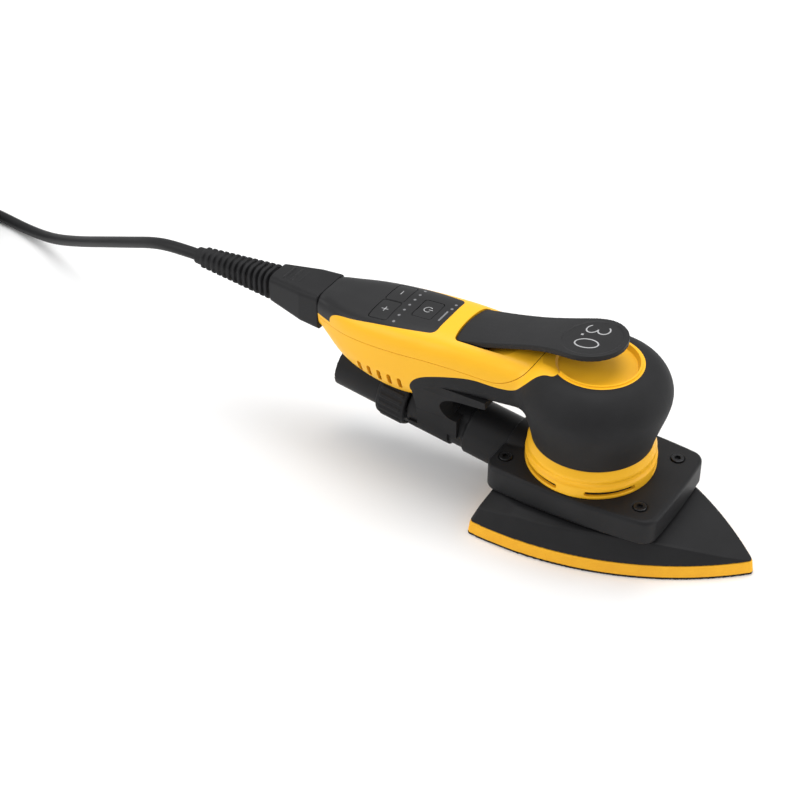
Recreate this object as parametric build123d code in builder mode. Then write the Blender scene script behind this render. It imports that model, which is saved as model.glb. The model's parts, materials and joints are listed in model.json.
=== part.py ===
from build123d import *
import math
import os

# Detail sander: a delta-shaped orbital sander with a slim body, a press lever and a mains lead.
# The origin lies on the sanding face, on the motor axis. +X points to the pad's tip, +Z up.
# All lengths are in millimetres.

os.makedirs("parts", exist_ok=True)

# Pad
PAD_REAR_X = -46.7
PAD_TIP_X = 98.0
PAD_HALF_WIDTH = 50.0
PAD_SAGITTA = 17.0
ABRASIVE_TOP_Z = 0.9
FOAM_TOP_Z = 8.0
FOAM_INSET = 0.8
PLATEN_TOP_Z = 21.6
PLATEN_DRAFT = 22.0
PLATEN_WALL_RISE = 16.0
DUST_HOLE_R = 1.8

# Orbit drive
ORBIT_OFFSET = 1.5
HUB_R = 15.0
HUB_TOP_Z = 31.6
ORBIT_BEARING_R = 11.0
JOURNAL_R = 4.0
ORBIT_BEARING_Z = 24.0
ORBIT_BEARING_W = 7.0

# Shroud block
BLOCK_REAR_X = -46.0
BLOCK_FRONT_X = 51.5
BLOCK_BOTTOM_Z = 22.4
BLOCK_TOP_Z = 37.1
BLOCK_WALL = 2.6
SCREW_REAR_X = -38.9
SCREW_FRONT_X = 39.9
SCREW_Y = 23.1
SCREW_PLACES = [(x, y) for x in (SCREW_REAR_X, SCREW_FRONT_X) for y in (-SCREW_Y, SCREW_Y)]

# Head
RING_R = 35.1
RING_INNER_R = 30.0
HEAD_BOTTOM_Z = 53.2
HEAD_BOTTOM_R = 32.3
CAP_R = 23.0
CAP_BAND = 1.2
CAP_EDGE_Z = 100.3
CAP_LIP_Z = 101.2
DISH_Z = 98.4
WALL = 2.8
# Side of the head from its foot to the cap: radius, height
HEAD_PROFILE = [
    (HEAD_BOTTOM_R, HEAD_BOTTOM_Z),
    (33.4, 58),
    (36.3, 68),
    (39.3, 78),
    (40.0, 83),
    (39.2, 88),
    (34.1, 96),
    (CAP_R, CAP_EDGE_Z),
]

# Handle sections: x, half width, height of the widest line, top, bottom, squareness of the top
HANDLE_SECTIONS = [
    (-163.0, 14.0, 79.0, 90.0, 67.0, 5.0),
    (-150.0, 19.0, 78.0, 91.6, 56.0, 4.0),
    (-135.0, 23.2, 77.0, 92.9, 49.0, 4.0),
    (-115.0, 25.4, 76.0, 94.8, 45.5, 4.0),
    (-96.0, 26.0, 76.3, 96.3, 48.0, 4.0),
    (-80.0, 25.7, 77.0, 97.2, 56.5, 4.0),
    (-62.0, 24.8, 78.0, 97.8, 61.5, 3.6),
    (-44.0, 23.6, 79.0, 98.2, 63.0, 3.2),
    (-26.0, 23.0, 80.0, 98.3, 62.0, 3.0),
    (-8.0, 22.0, 80.0, 98.3, 62.0, 3.0),
]
UNDERSIDE_POWER = 2.5
NECK_FILLET = 9.0
HANDLE_REAR_X = -163.0
SEAM_GAP = 0.25

# Dust duct: one straight axis that climbs towards the rear
DUCT_SLOPE = 0.15
DUCT_REF_X = -62.0
DUCT_REF_Z = 28.8
DUCT_R = 15.8
DUCT_INNER_R = 13.0
DUCT_END_X = -106.0
COLLAR_FRONT_X = -106.5
COLLAR_REAR_X = -124.5
COLLAR_R = 18.0
SOCKET_REAR_X = -153.0
SOCKET_R = 14.2
SOCKET_BORE_R = 12.4

# Lever
LEVER_REAR_X = -74.6
LEVER_REAR_HALF = 16.6
LEVER_REAR_BOW = 2.0
LEVER_WAIST_X = -36.0
LEVER_WAIST_HALF = 14.6
LEVER_END_X = -4.0
LEVER_END_R = 18.6
LEVER_THICK = 3.2
LEVER_PIVOT_X = -64.0
LEVER_PIVOT_Z = 90.5
PIN_R = 1.5
RUN_CLEARANCE = 0.05
# Recess that the lever sinks into, seen from the side: x, height of its floor
LEVER_POCKET_LINE = [(-76, 91.0), (-61, 91.0), (-45, 96.6), (-36, 99.5), (25, 99.5)]
# Lever band stations: x, height of the crown, drop to the edges
LEVER_LINE = [
    (-78, 96.6, 2.0),
    (-70, 98.2, 1.9),
    (-58, 100.7, 1.5),
    (-44, 104.2, 1.0),
    (-28, 108.8, 0.7),
    (-10, 113.2, 0.4),
    (4, 115.2, 0.3),
    (18, 116.2, 0.3),
]
LEVER_BAND_HALF = 21.0
SPRING_X = -50.0
SPRING_FOOT_Z = 86.6
SPRING_TOP_Z = 97.4

# Keypad
KEYPAD_REAR_X = -163.2
KEYPAD_FRONT_X = -87.0
BUTTON_TRAVEL = 0.6
BUTTON_GAP = 0.2
BUTTON_CORNERS = {
    "minus": ((-128.6, 0.35), (-116.9, 17.3)),
    "plus": ((-128.6, -17.3), (-116.9, -0.35)),
    "power": ((-107.0, -8.3), (-95.0, 8.3)),
}
LED_X = -112.6
LED_PITCH = 5.5
LED_R = 0.8
LED_PLACES = [(LED_X, LED_PITCH * step) for step in range(-3, 4)]
LIGHT_PLACES = [(-89.8, 6.0), (-89.8, 10.5)]
SWITCH_TOP_Z = 89.2
BOARD_TOP_Z = 85.8

# Electronics and motor
CONTROL_Z = 70.0
8
SHAFT_R = 5.0
SHAFT_TOP_R = 4.0
SHAFT_TOP_Z = 95.2
SLOT_COUNT = 9

# Lead
CONNECTOR_FRONT_X = -163.4
RELIEF_FRONT_X = -198.5
RIB_COUNT = 13
RIB_PITCH = 3.85
CORD_R = 3.5
LEAD_Z = 79.0
RELIEF_END_X = -254.0
COIL_CENTRE = (-514.0, 12.5)
COIL_BASE_Z = 1.0
COIL_INNER_R = 25.0
COIL_OUTER_R = 53.0
COIL_HEIGHT = 28.0
# The lead leaves the relief level, sinks to the floor and runs to its coil
LEAD_ROUTE = [
    (RELIEF_END_X, 0, LEAD_Z),
    (-270, 0, LEAD_Z),
    (-288, 3, 74.5),
    (-312, 10.5, 62.5),
    (-342, 21, 47),
    (-378, 36, 27),
    (-412, 49, 10.5),
    (-441, 57.5, 3.5),
    (-468, 61.5, 3.5),
    (-491, 62.6, 4.0),
    (-513, 62.0, 4.5),
]
# The tail leaves the coil's top layer and comes down level to the plug
TAIL_ROUTE = [
    (-563.5, 15, 25.5),
    (-564.5, -3, 24.6),
    (-563.9, -21, 21.8),
    (-562.9, -38, 19.0),
    (-562.0, -51, 18.0),
    (-561.6, -62, 18.0),
]
PLUG_FLANGE_R = 17.4


def duct_plane(x, height=0.0):
    """Plane square to the duct's axis where the axis passes x, facing the rear."""
    z = DUCT_REF_Z + DUCT_SLOPE * (DUCT_REF_X - x)
    return Plane(origin=(x, 0, z + height), x_dir=(0, 1, 0), z_dir=(-1, 0, DUCT_SLOPE))


def duct_run(x_from, x_to):
    """Length along the duct's axis between two x positions."""
    return abs(x_to - x_from) * math.hypot(1, DUCT_SLOPE)


def cross_plane(x, z=0.0):
    """Plane across the body at x, seen from the front with z upwards."""
    return Plane(origin=(x, 0, z), x_dir=(0, 1, 0), z_dir=(1, 0, 0))


def lead_plane(x):
    """Plane across the lead's axis at x, facing the rear."""
    return Plane(origin=(x, 0, LEAD_Z), x_dir=(0, 1, 0), z_dir=(-1, 0, 0))


def superellipse(half_width, middle, top, bottom, power, steps=16):
    """Points (y, z) of a closed section with separate upper and lower halves."""
    points = []
    for step in range(steps):
        angle = 2 * math.pi * step / steps
        c = math.cos(angle)
        s = math.sin(angle)
        half_power = 2 / (power if s >= 0 else UNDERSIDE_POWER)
        reach = (top - middle) if s >= 0 else (middle - bottom)
        y = half_width * math.copysign(abs(c) ** half_power, c)
        points.append((y, middle + reach * math.copysign(abs(s) ** half_power, s)))
    return points


def handle_form(inset, x_rear):
    """The handle's outer form drawn in by inset, starting at x_rear."""
    with BuildPart(mode=Mode.PRIVATE) as form:
        for x, half_width, middle, top, bottom, power in HANDLE_SECTIONS:
            section = superellipse(half_width - inset, middle, top - inset, bottom + inset, power)
            with BuildSketch(cross_plane(max(x, x_rear))):
                with BuildLine():
                    Spline(*section, periodic=True)
                make_face()
        loft()
    return form.part


def head_form(inset):
    """The head's revolved form drawn in by inset, with a flat top at the dish's height."""
    with BuildPart(mode=Mode.PRIVATE) as form:
        with BuildSketch(Plane.XZ):
            with BuildLine():
                Polyline((0, DISH_Z - inset), (0, HEAD_BOTTOM_Z), (HEAD_BOTTOM_R - inset, HEAD_BOTTOM_Z))
                Spline(*[(r - inset, z - (inset if r < 30 else 0)) for r, z in HEAD_PROFILE])
                Polyline(
                    (CAP_R - inset, CAP_EDGE_Z - inset),
                    (CAP_R - inset - 2.5, DISH_Z - inset),
                    (0, DISH_Z - inset),
                )
            make_face()
        revolve(axis=Axis.Z)
    return form.part


def side_region(points, closing, half_width=60.0):
    """Prism across the body whose side view is bounded by a spline and closing corners."""
    with BuildPart(mode=Mode.PRIVATE) as region:
        with BuildSketch(Plane.XZ):
            with BuildLine():
                Spline(*points)
                Polyline(points[-1], *closing, points[0])
            make_face()
        extrude(amount=half_width, both=True)
    return region.part


def pad_outline(inset=0.0, corner=2.5):
    """Delta outline with bowed sides, drawn in by inset."""
    length = PAD_TIP_X - PAD_REAR_X
    chord = math.hypot(length, PAD_HALF_WIDTH)
    bow_radius = (chord**2 / 4 + PAD_SAGITTA**2) / (2 * PAD_SAGITTA)
    reach = bow_radius - PAD_SAGITTA
    centre_x = (PAD_TIP_X + PAD_REAR_X) / 2 - reach * PAD_HALF_WIDTH / chord
    centre_y = PAD_HALF_WIDTH / 2 - reach * length / chord
    radius = bow_radius - inset
    rear_x = PAD_REAR_X + inset
    rear_y = centre_y + math.sqrt(radius**2 - (rear_x - centre_x) ** 2)
    tip_x = centre_x + math.sqrt(radius**2 - centre_y**2)
    rear_turn = math.atan2(rear_y - centre_y, rear_x - centre_x)
    tip_turn = math.atan2(-centre_y, tip_x - centre_x)
    bow_turn = (rear_turn + tip_turn) / 2
    bow = (centre_x + radius * math.cos(bow_turn), centre_y + radius * math.sin(bow_turn))
    with BuildSketch(mode=Mode.PRIVATE) as outline:
        with BuildLine():
            ThreePointArc((rear_x, rear_y), bow, (tip_x, 0))
            ThreePointArc((tip_x, 0), (bow[0], -bow[1]), (rear_x, -rear_y))
            Line((rear_x, -rear_y), (rear_x, rear_y))
        make_face()
        fillet(outline.vertices(), corner)
    return outline.sketch


def block_outline(inset=0.0):
    """Plan of the shroud block with slightly bowed sides, drawn in by inset."""
    rear_x = BLOCK_REAR_X + inset
    front_x = BLOCK_FRONT_X - inset
    with BuildSketch(mode=Mode.PRIVATE) as outline:
        with BuildLine():
            ThreePointArc((rear_x, 34.6 - inset), (0, 37.2 - inset), (front_x, 33.4 - inset))
            ThreePointArc((front_x, 33.4 - inset), (front_x + 1.2, 0), (front_x, inset - 33.4))
            ThreePointArc((front_x, inset - 33.4), (0, inset - 37.2), (rear_x, inset - 34.6))
            Line((rear_x, inset - 34.6), (rear_x, 34.6 - inset))
        make_face()
        fillet(outline.vertices(), 8 - inset)
    return outline.sketch


def dust_hole_places():
    """Dust hole centres: rows under the shroud's chamber, clear of the legs and the hub."""
    places = []
    for x in (-34, -23, 23, 34):
        for y in (-11, 0, 11):
            places.append((x, y))
    for x in (-10, 4, 18):
        for y in (-27, 27):
            places.append((x, y))
    return places


# ---------------------------------------------------------------- pad
with BuildPart() as abrasive_sheet:
    with BuildSketch():
        add(pad_outline())
        with Locations(*dust_hole_places()):
            Circle(DUST_HOLE_R, mode=Mode.SUBTRACT)
    extrude(amount=ABRASIVE_TOP_Z)

with BuildPart() as foam_layer:
    with BuildSketch(Plane.XY.offset(ABRASIVE_TOP_Z)):
        add(pad_outline())
    with BuildSketch(Plane.XY.offset(FOAM_TOP_Z)):
        add(pad_outline(FOAM_INSET))
    loft(ruled=True)
    with BuildSketch(Plane.XY):
        with Locations(*dust_hole_places()):
            Circle(DUST_HOLE_R)
    extrude(amount=FOAM_TOP_Z, mode=Mode.SUBTRACT)

platen_top_inset = FOAM_INSET + PLATEN_WALL_RISE * math.tan(math.radians(PLATEN_DRAFT))
with BuildPart() as platen:
    with BuildSketch(Plane.XY.offset(FOAM_TOP_Z)):
        add(pad_outline(FOAM_INSET))
    with BuildSketch(Plane.XY.offset(FOAM_TOP_Z + PLATEN_WALL_RISE)):
        add(pad_outline(platen_top_inset, corner=1.0))
    loft(ruled=True)
    with BuildSketch(Plane.XZ):
        with BuildLine():
            nose = Spline((38, PLATEN_TOP_Z), (53, 19.2), (72, 15.4), (88, 10.9), (98, 8.3))
            Polyline(nose @ 1, (98, 40), (-60, 40), (-60, PLATEN_TOP_Z), nose @ 0)
        make_face()
    extrude(amount=60, both=True, mode=Mode.SUBTRACT)
    for side in (-1, 1):
        shoulder = Plane(
            origin=(0, side * 38.5, PLATEN_TOP_Z),
            z_dir=(0, side * math.sin(math.radians(18)), math.cos(math.radians(18))),
        )
        split(bisect_by=shoulder, keep=Keep.BOTTOM)
        corner_normal = Vector(-0.12, side * 0.32, 0.94).normalized()
        rear_bevel = Plane(origin=(-45.9, side * 30.2, PLATEN_TOP_Z), z_dir=corner_normal)
        split(bisect_by=rear_bevel, keep=Keep.BOTTOM)
    with BuildSketch(Plane.XY.offset(FOAM_TOP_Z + 4)):
        with Locations((ORBIT_OFFSET, 0)):
            Circle(HUB_R)
    extrude(amount=HUB_TOP_Z - FOAM_TOP_Z - 4)
    with BuildSketch(Plane.XY.offset(ORBIT_BEARING_Z)):
        with Locations((ORBIT_OFFSET, 0)):
            Circle(ORBIT_BEARING_R)
    extrude(amount=HUB_TOP_Z - ORBIT_BEARING_Z, mode=Mode.SUBTRACT)
    with BuildSketch(Plane.XY.offset(18)):
        with Locations((ORBIT_OFFSET, 0)):
            Circle(8)
    extrude(amount=ORBIT_BEARING_Z - 18, mode=Mode.SUBTRACT)
    with BuildSketch(Plane.XY.offset(11)):
        with Locations(*[(x + ORBIT_OFFSET, y) for x, y in SCREW_PLACES]):
            Circle(6.6)
    extrude(amount=20, mode=Mode.SUBTRACT)
    with BuildSketch(Plane.XY.offset(FOAM_TOP_Z)):
        with Locations(*dust_hole_places()):
            Circle(DUST_HOLE_R)
    extrude(amount=PLATEN_TOP_Z - FOAM_TOP_Z + 1, mode=Mode.SUBTRACT)

with BuildPart() as bearing_clip:
    with BuildSketch(Plane.XY.offset(ORBIT_BEARING_Z + ORBIT_BEARING_W)):
        with Locations((ORBIT_OFFSET, 0)):
            Circle(ORBIT_BEARING_R)
            Circle(ORBIT_BEARING_R - 1.6, mode=Mode.SUBTRACT)
            with Locations((9, 0)):
                Rectangle(6, 3, mode=Mode.SUBTRACT)
    extrude(amount=0.6)


def ball_bearing(centre, z, bore_r, outer_r, width):
    """Deep-groove ball bearing as separate rings and balls."""
    mid_r = (bore_r + outer_r) / 2
    ball_r = (outer_r - bore_r) * 0.25
    with BuildPart(mode=Mode.PRIVATE) as bearing:
        for inner, outer in ((bore_r, mid_r - ball_r * 0.55), (mid_r + ball_r * 0.55, outer_r)):
            with BuildSketch(Plane.XY.offset(z)):
                with Locations(centre):
                    Circle(outer)
                    Circle(inner, mode=Mode.SUBTRACT)
            extrude(amount=width)
        with Locations((centre[0], centre[1], z + width / 2)):
            Torus(mid_r, ball_r + 0.05, mode=Mode.SUBTRACT)
        with Locations((centre[0], centre[1], z + width / 2)):
            with PolarLocations(mid_r, 8):
                Sphere(ball_r)
    return bearing.part


with BuildPart() as orbit_bearing:
    add(ball_bearing((ORBIT_OFFSET, 0), ORBIT_BEARING_Z, JOURNAL_R, ORBIT_BEARING_R, ORBIT_BEARING_W))

# ---------------------------------------------------------------- shroud
with BuildPart() as shroud:
    with BuildSketch(Plane.XY.offset(BLOCK_BOTTOM_Z)):
        add(block_outline())
    extrude(amount=BLOCK_TOP_Z - BLOCK_BOTTOM_Z)
    fillet(shroud.faces().sort_by(Axis.Z)[-1].edges(), 2.0)
    with BuildSketch(duct_plane(BLOCK_REAR_X)):
        Circle(DUCT_R + 1.4)
    extrude(amount=-22)
    split(bisect_by=Plane.XY.offset(BLOCK_BOTTOM_Z), keep=Keep.TOP)
    with BuildSketch(Plane.XY.offset(BLOCK_BOTTOM_Z)):
        add(block_outline(BLOCK_WALL))
    extrude(amount=BLOCK_TOP_Z - BLOCK_BOTTOM_Z - BLOCK_WALL, mode=Mode.SUBTRACT)
    with BuildSketch(Plane.XY.offset(BLOCK_TOP_Z)):
        Circle(RING_R + 0.3)
    extrude(amount=20, mode=Mode.SUBTRACT)
    with BuildSketch(duct_plane(BLOCK_REAR_X - 6)):
        Circle(DUCT_R)
    extrude(amount=-20, mode=Mode.SUBTRACT)
    with BuildSketch(duct_plane(BLOCK_REAR_X)):
        Circle(DUCT_INNER_R)
    extrude(amount=-24, mode=Mode.SUBTRACT)
    with BuildSketch(Plane.XY.offset(BLOCK_TOP_Z - BLOCK_WALL - 1)):
        Circle(12)
    extrude(amount=BLOCK_WALL + 2, mode=Mode.SUBTRACT)
    with Locations(*[(x, y, BLOCK_TOP_Z) for x, y in SCREW_PLACES]):
        CounterBoreHole(2.1, 3.8, 1.4, depth=4)

with BuildPart() as shroud_screws:
    for x, y in SCREW_PLACES:
        with BuildSketch(Plane.XY.offset(BLOCK_TOP_Z - 1.4)):
            with Locations((x, y)):
                Circle(3.5)
        extrude(amount=1.9)
        with BuildSketch(Plane.XY.offset(BLOCK_TOP_Z - 9)):
            with Locations((x, y)):
                Circle(2.0)
        extrude(amount=7.6)
    fillet(shroud_screws.edges().filter_by(GeomType.CIRCLE).group_by(Axis.Z)[-1], 0.5)
    with BuildSketch(Plane.XY.offset(BLOCK_TOP_Z + 0.5)):
        with Locations(*SCREW_PLACES):
            RegularPolygon(1.9, 6)
    extrude(amount=-1.3, mode=Mode.SUBTRACT)

with BuildPart() as flexible_legs:
    with BuildSketch(Plane.XZ):
        with BuildLine():
            Polyline((0, 34.4), (0, 12.6), (3.2, 12.6), (4.0, 13.6), (4.0, 17), (3.0, 18.5))
            Spline((3.0, 18.5), (2.5, 22.5), (3.2, 27), (4.3, 29.5))
            Polyline((4.3, 29.5), (4.3, 34.4), (0, 34.4))
        make_face()
    leg = revolve(axis=Axis.Z, mode=Mode.PRIVATE)
    with Locations(*[(x, y, 0) for x, y in SCREW_PLACES]):
        add(leg)
    with BuildSketch(Plane.XY.offset(BLOCK_TOP_Z - 9.4)):
        with Locations(*SCREW_PLACES):
            Circle(2.0)
    extrude(amount=10, mode=Mode.SUBTRACT)

with BuildPart() as vent_ring:
    with BuildSketch(Plane.XZ):
        with BuildLine():
            Polyline(
                (RING_INNER_R, BLOCK_TOP_Z), (RING_R, BLOCK_TOP_Z), (RING_R, 43.6),
                (34.0, 44.4), (33.7, 46.6), (34.4, 47.6), (34.3, 49.4), (HEAD_BOTTOM_R, HEAD_BOTTOM_Z),
                (RING_INNER_R, HEAD_BOTTOM_Z), close=True,
            )
        make_face()
    revolve(axis=Axis.Z)
    for slot in range(5):
        start = -69 + 72 * slot
        with BuildSketch(Plane.XY.offset(39.0)):
            with BuildLine():
                CenterArc((0, 0), 40, start, 46)
                CenterArc((0, 0), 25, start, 46)
                for turn in (start, start + 46):
                    c = math.cos(math.radians(turn))
                    s = math.sin(math.radians(turn))
                    Line((25 * c, 25 * s), (40 * c, 40 * s))
            make_face()
        extrude(amount=2.7, mode=Mode.SUBTRACT)

# ---------------------------------------------------------------- body shells
outer_form = handle_form(0, HANDLE_REAR_X) + head_form(0)
neck_edges = [
    edge
    for edge in outer_form.edges()
    if edge.bounding_box().min.X > -40 and edge.bounding_box().max.X < -25 and edge.bounding_box().size.Y > 40
]
outer_form = outer_form.solids()[0].fillet(NECK_FILLET, neck_edges)
inner_form = handle_form(WALL, HANDLE_REAR_X + WALL) + head_form(WALL)


def duct_cylinder(radius, x_from, x_to):
    """Cylinder on the duct's axis between two x positions, x_from the further forward."""
    with BuildPart(mode=Mode.PRIVATE) as tube:
        with BuildSketch(duct_plane(x_from)):
            Circle(radius)
        extrude(amount=duct_run(x_from, x_to))
    return tube.part


saddle = duct_cylinder(COLLAR_R + 1.6, -97, -128) + duct_cylinder(SOCKET_R + 2, -127, -175)
saddle_cover = duct_cylinder(COLLAR_R + 3.8, -96, -130) + duct_cylinder(SOCKET_R + 4.2, -129, -178)
cavity = inner_form - saddle_cover
INLET_Z = 79.0
INLET_R = 7.8
with BuildPart() as inlet_opening:
    with BuildSketch(cross_plane(-170, INLET_Z)):
        Circle(INLET_R)
    extrude(amount=12)
body_shell = outer_form - cavity - saddle - inlet_opening.part

yellow_line = [
    (-10, 103), (-12.5, 100.4), (-17.6, 99.2), (-20.8, 98.0), (-23.6, 96.0), (-27, 92.3), (-31.5, 86.8),
    (-35.5, 82.8), (-41, 81.1), (-48, 80.6), (-58, 80.9), (-71, 78.4), (-85, 73.7), (-93.5, 69),
    (-97.6, 63.4), (-98.2, 57),
]
yellow_zone = side_region(yellow_line, [(-98.2, 30), (-170, 30), (-170, 110), (-10, 110)])
with BuildPart() as cap_zone:
    with BuildSketch(Plane.XY.offset(94)):
        Circle(CAP_R + CAP_BAND)
    extrude(amount=12)
yellow_zone = yellow_zone + cap_zone.part

seam_line = [
    (-164, 77.6), (-140, 78.6), (-109, 81.2), (-78, 83.6), (-56, 83.2),
    (-46, 83.6), (-37, 88), (-30, 95), (-26, 103),
]
upper_zone = side_region(seam_line, [(-26, 110), (-170, 110), (-170, 77.4)])
lower_limit = upper_zone.moved(Location((SEAM_GAP, 0, -SEAM_GAP)))

with BuildPart() as keypad_zone:
    with BuildSketch(Plane.XY.offset(79.8)) as keypad_plan:
        with BuildLine():
            side_edge = Spline(
                (KEYPAD_REAR_X, 14.6),
                (-157, 16.9),
                (-150, 18.6),
                (-140, 20.3),
                (-125, 20.6),
                (-105, 19.6),
                (KEYPAD_FRONT_X, 17.0),
            )
            Line(side_edge @ 1, (KEYPAD_FRONT_X, 0))
            mirror(about=Plane.XZ)
            Line((KEYPAD_REAR_X, 14.6), (KEYPAD_REAR_X, -14.6))
        make_face()
        fillet(keypad_plan.vertices().group_by(Axis.X)[-1], 4)
    extrude(amount=25)
frame_shell = body_shell - keypad_zone.part


def lever_outline(grow=0.0):
    """Plan outline of the lever, grown all round: bowed rear, waist and round end."""
    rear = (LEVER_REAR_X - grow, LEVER_REAR_HALF + grow)
    end_r = LEVER_END_R + grow
    join = (LEVER_END_X + 3, math.sqrt(end_r**2 - 9))
    with BuildSketch(mode=Mode.PRIVATE) as outline:
        with BuildLine():
            Spline(
                rear,
                (-55, 15.6 + grow),
                (LEVER_WAIST_X, LEVER_WAIST_HALF + grow),
                (-18, 16.2 + grow),
                join,
                tangents=((1, -0.02), (1, -0.16)),
            )
            mirror(about=Plane.XZ)
            ThreePointArc(join, (LEVER_END_X + end_r, 0), (join[0], -join[1]))
            ThreePointArc(rear, (rear[0] - LEVER_REAR_BOW, 0), (rear[0], -rear[1]))
        make_face()
        fillet(outline.vertices().group_by(Axis.X)[0], 3)
    return outline.sketch


with BuildPart() as lever_pocket:
    with BuildSketch(Plane.XY.offset(80)):
        add(lever_outline(0.6))
    extrude(amount=40)
    with BuildSketch(Plane.XZ):
        with BuildLine():
            Polyline(*LEVER_POCKET_LINE, (25, 130), (-80, 130), (-80, 91.0), close=True)
        make_face()
    extrude(amount=30, both=True, mode=Mode.INTERSECT)
    with BuildSketch(Plane.XY.offset(85.0)):
        with Locations((LEVER_PIVOT_X, 0)):
            Rectangle(13, 23)
        with Locations((SPRING_X, 0)):
            Circle(5.8)
    extrude(amount=12)

with BuildPart() as pocket_tray:
    with BuildSketch(Plane.XY.offset(88.6)):
        add(lever_outline(2.4))
    extrude(amount=12)
    with BuildSketch(Plane.XY.offset(83.2)):
        with Locations((LEVER_PIVOT_X, 0)):
            Rectangle(16.6, 26.6)
        with Locations((SPRING_X, 0)):
            Circle(7.4)
    extrude(amount=10)

with BuildPart() as upper_cover:
    add(frame_shell)
    add(pocket_tray.part & outer_form)
    add(upper_zone, mode=Mode.INTERSECT)
    add(lever_pocket.part, mode=Mode.SUBTRACT)
    with BuildSketch(Plane.XZ):
        with Locations((LEVER_PIVOT_X, LEVER_PIVOT_Z)):
            Circle(PIN_R)
    extrude(amount=13.3, both=True, mode=Mode.SUBTRACT)

with BuildPart() as cap_lip:
    with BuildSketch(Plane.XZ):
        with BuildLine():
            Polyline(
                (CAP_R, CAP_EDGE_Z), (CAP_R - 0.2, CAP_LIP_Z), (CAP_R - 1.2, CAP_LIP_Z),
                (CAP_R - 2.4, DISH_Z), (CAP_R - 1.2, DISH_Z - 1), close=True,
            )
        make_face()
    revolve(axis=Axis.Z)
    split(bisect_by=Plane.YZ.offset(-12), keep=Keep.TOP)

with BuildPart() as lower_housing:
    add(frame_shell)
    add(yellow_zone, mode=Mode.INTERSECT)
    add(lower_limit, mode=Mode.SUBTRACT)
    add(lever_pocket.part, mode=Mode.SUBTRACT)
    add(cap_lip.part)
    for step in range(5):
        with BuildSketch(Plane.XZ):
            with Locations((-131.4 + 6.7 * step, 60.4)):
                SlotOverall(8.0, 2.6, rotation=90)
        extrude(amount=60, both=True, mode=Mode.SUBTRACT)

with BuildPart() as pillar:
    with BuildSketch(Plane.XZ):
        with BuildLine():
            web = Spline((-52, 63.5), (-66, 61.8), (-76, 59), (-81.6, 52.5), (-80.6, 46), (-73, 42))
            Polyline(
                web @ 1, (-73, 30.5), (-104.2, 35.2), (-103.6, 40), (-100.4, 51), (-98.2, 58), (-96, 68),
                (-52, 68), web @ 0,
            )
        make_face()
    extrude(amount=30, both=True)
    with BuildSketch(cross_plane(-120)):
        with BuildLine():
            Polyline((0, 70), (24.5, 70), (23.4, 62), (20.0, 52), (16.6, 42))
            Line((16.6, 42), (16.0, 4))
            Line((16.0, 4), (0, 4))
            mirror(about=Plane.YZ)
        make_face()
    extrude(amount=70, mode=Mode.INTERSECT)
    add(duct_cylinder(DUCT_R, -79, -104))

with BuildPart() as rubber_grip:
    add(body_shell)
    add(yellow_zone, mode=Mode.SUBTRACT)
    add(pillar.part - yellow_zone - cavity)
    add(duct_cylinder(DUCT_R - 1.4, -30, -110), mode=Mode.SUBTRACT)

# ---------------------------------------------------------------- dust duct
with BuildPart() as dust_duct:
    add(duct_cylinder(DUCT_R, BLOCK_REAR_X + 6, DUCT_END_X))
    add(duct_cylinder(30, -70, -130) - duct_cylinder(DUCT_R - 1.4, -70, -130), mode=Mode.SUBTRACT)
    add(duct_cylinder(DUCT_INNER_R, BLOCK_REAR_X + 10, -120), mode=Mode.SUBTRACT)
    with BuildSketch(Plane.XY.offset(20)):
        Circle(RING_R + 0.4)
    extrude(amount=40, mode=Mode.SUBTRACT)
    with BuildSketch(Plane.XY.offset(BLOCK_BOTTOM_Z)):
        with Locations((PAD_REAR_X - 1.7, 0)):
            Rectangle(20, 40, align=(Align.MIN, Align.CENTER))
    extrude(amount=-20, mode=Mode.SUBTRACT)

with BuildPart() as hose_socket:
    with BuildSketch(duct_plane(COLLAR_FRONT_X - 0.3)):
        Circle(DUCT_R)
    extrude(amount=2)
    add(duct_cylinder(SOCKET_R, COLLAR_FRONT_X - 0.3, SOCKET_REAR_X))
    add(duct_cylinder(SOCKET_BORE_R, COLLAR_FRONT_X + 2, SOCKET_REAR_X - 3), mode=Mode.SUBTRACT)

with BuildPart() as locking_collar:
    with BuildSketch(duct_plane(COLLAR_FRONT_X)):
        Circle(COLLAR_R - 0.7)
    extrude(amount=duct_run(COLLAR_FRONT_X, COLLAR_REAR_X))
    chamfer(locking_collar.edges().filter_by(GeomType.CIRCLE), 0.8)
    with BuildSketch(duct_plane(COLLAR_FRONT_X - 2)):
        with PolarLocations(COLLAR_R - 0.9, 24):
            Rectangle(1.8, 2.2)
    extrude(amount=duct_run(COLLAR_FRONT_X - 2, COLLAR_REAR_X) - 2.5)
    add(duct_cylinder(SOCKET_R + RUN_CLEARANCE, COLLAR_FRONT_X + 2, COLLAR_REAR_X - 3), mode=Mode.SUBTRACT)
    add(duct_cylinder(DUCT_R + RUN_CLEARANCE, COLLAR_FRONT_X + 2, COLLAR_FRONT_X - 2.6), mode=Mode.SUBTRACT)

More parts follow.
